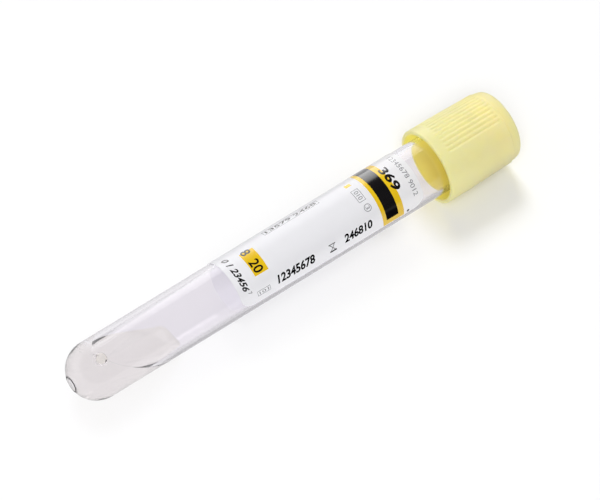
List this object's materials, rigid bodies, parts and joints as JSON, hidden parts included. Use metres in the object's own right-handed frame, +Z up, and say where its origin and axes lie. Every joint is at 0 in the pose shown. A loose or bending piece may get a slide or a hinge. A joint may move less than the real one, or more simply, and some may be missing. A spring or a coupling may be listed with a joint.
{
  "type": "blood collection tube",
  "caption": "Clear plastic sample tube with a round closed end, wrap-around label, a little liquid additive and a pale yellow ribbed cap over a rubber stopper.",
  "frame": {"origin": "centre of the bounding box in plan, on the table that the tube lies on", "axes": "+X along the tube from its round end to its cap, +Z up; the tube's own axis is tilted up towards the cap by about 1.6 degrees"},
  "size_m": [0.1074, 0.0168, 0.017],
  "materials": {
    "clear_tube": "clear moulded polyester, polished",
    "cap_plastic": "moulded polyethylene, soft satin",
    "stopper_rubber": "yellowish moulded rubber, dull",
    "label_film": "white printed film, satin",
    "additive_liquid": "clear liquid, stands in as a solid"
  },
  "bodies": {
    "tube_body": {"tube": "clear_tube", "label": "label_film", "additive": "additive_liquid"},
    "closure": {"cap": "cap_plastic", "stopper": "stopper_rubber"}
  },
  "joints": [
    {"name": "closure_pull", "type": "slide", "parent": "tube_body", "child": "closure", "axis": [0.9996, 0, 0.028], "range_m": [0, 0.03]}
  ]
}
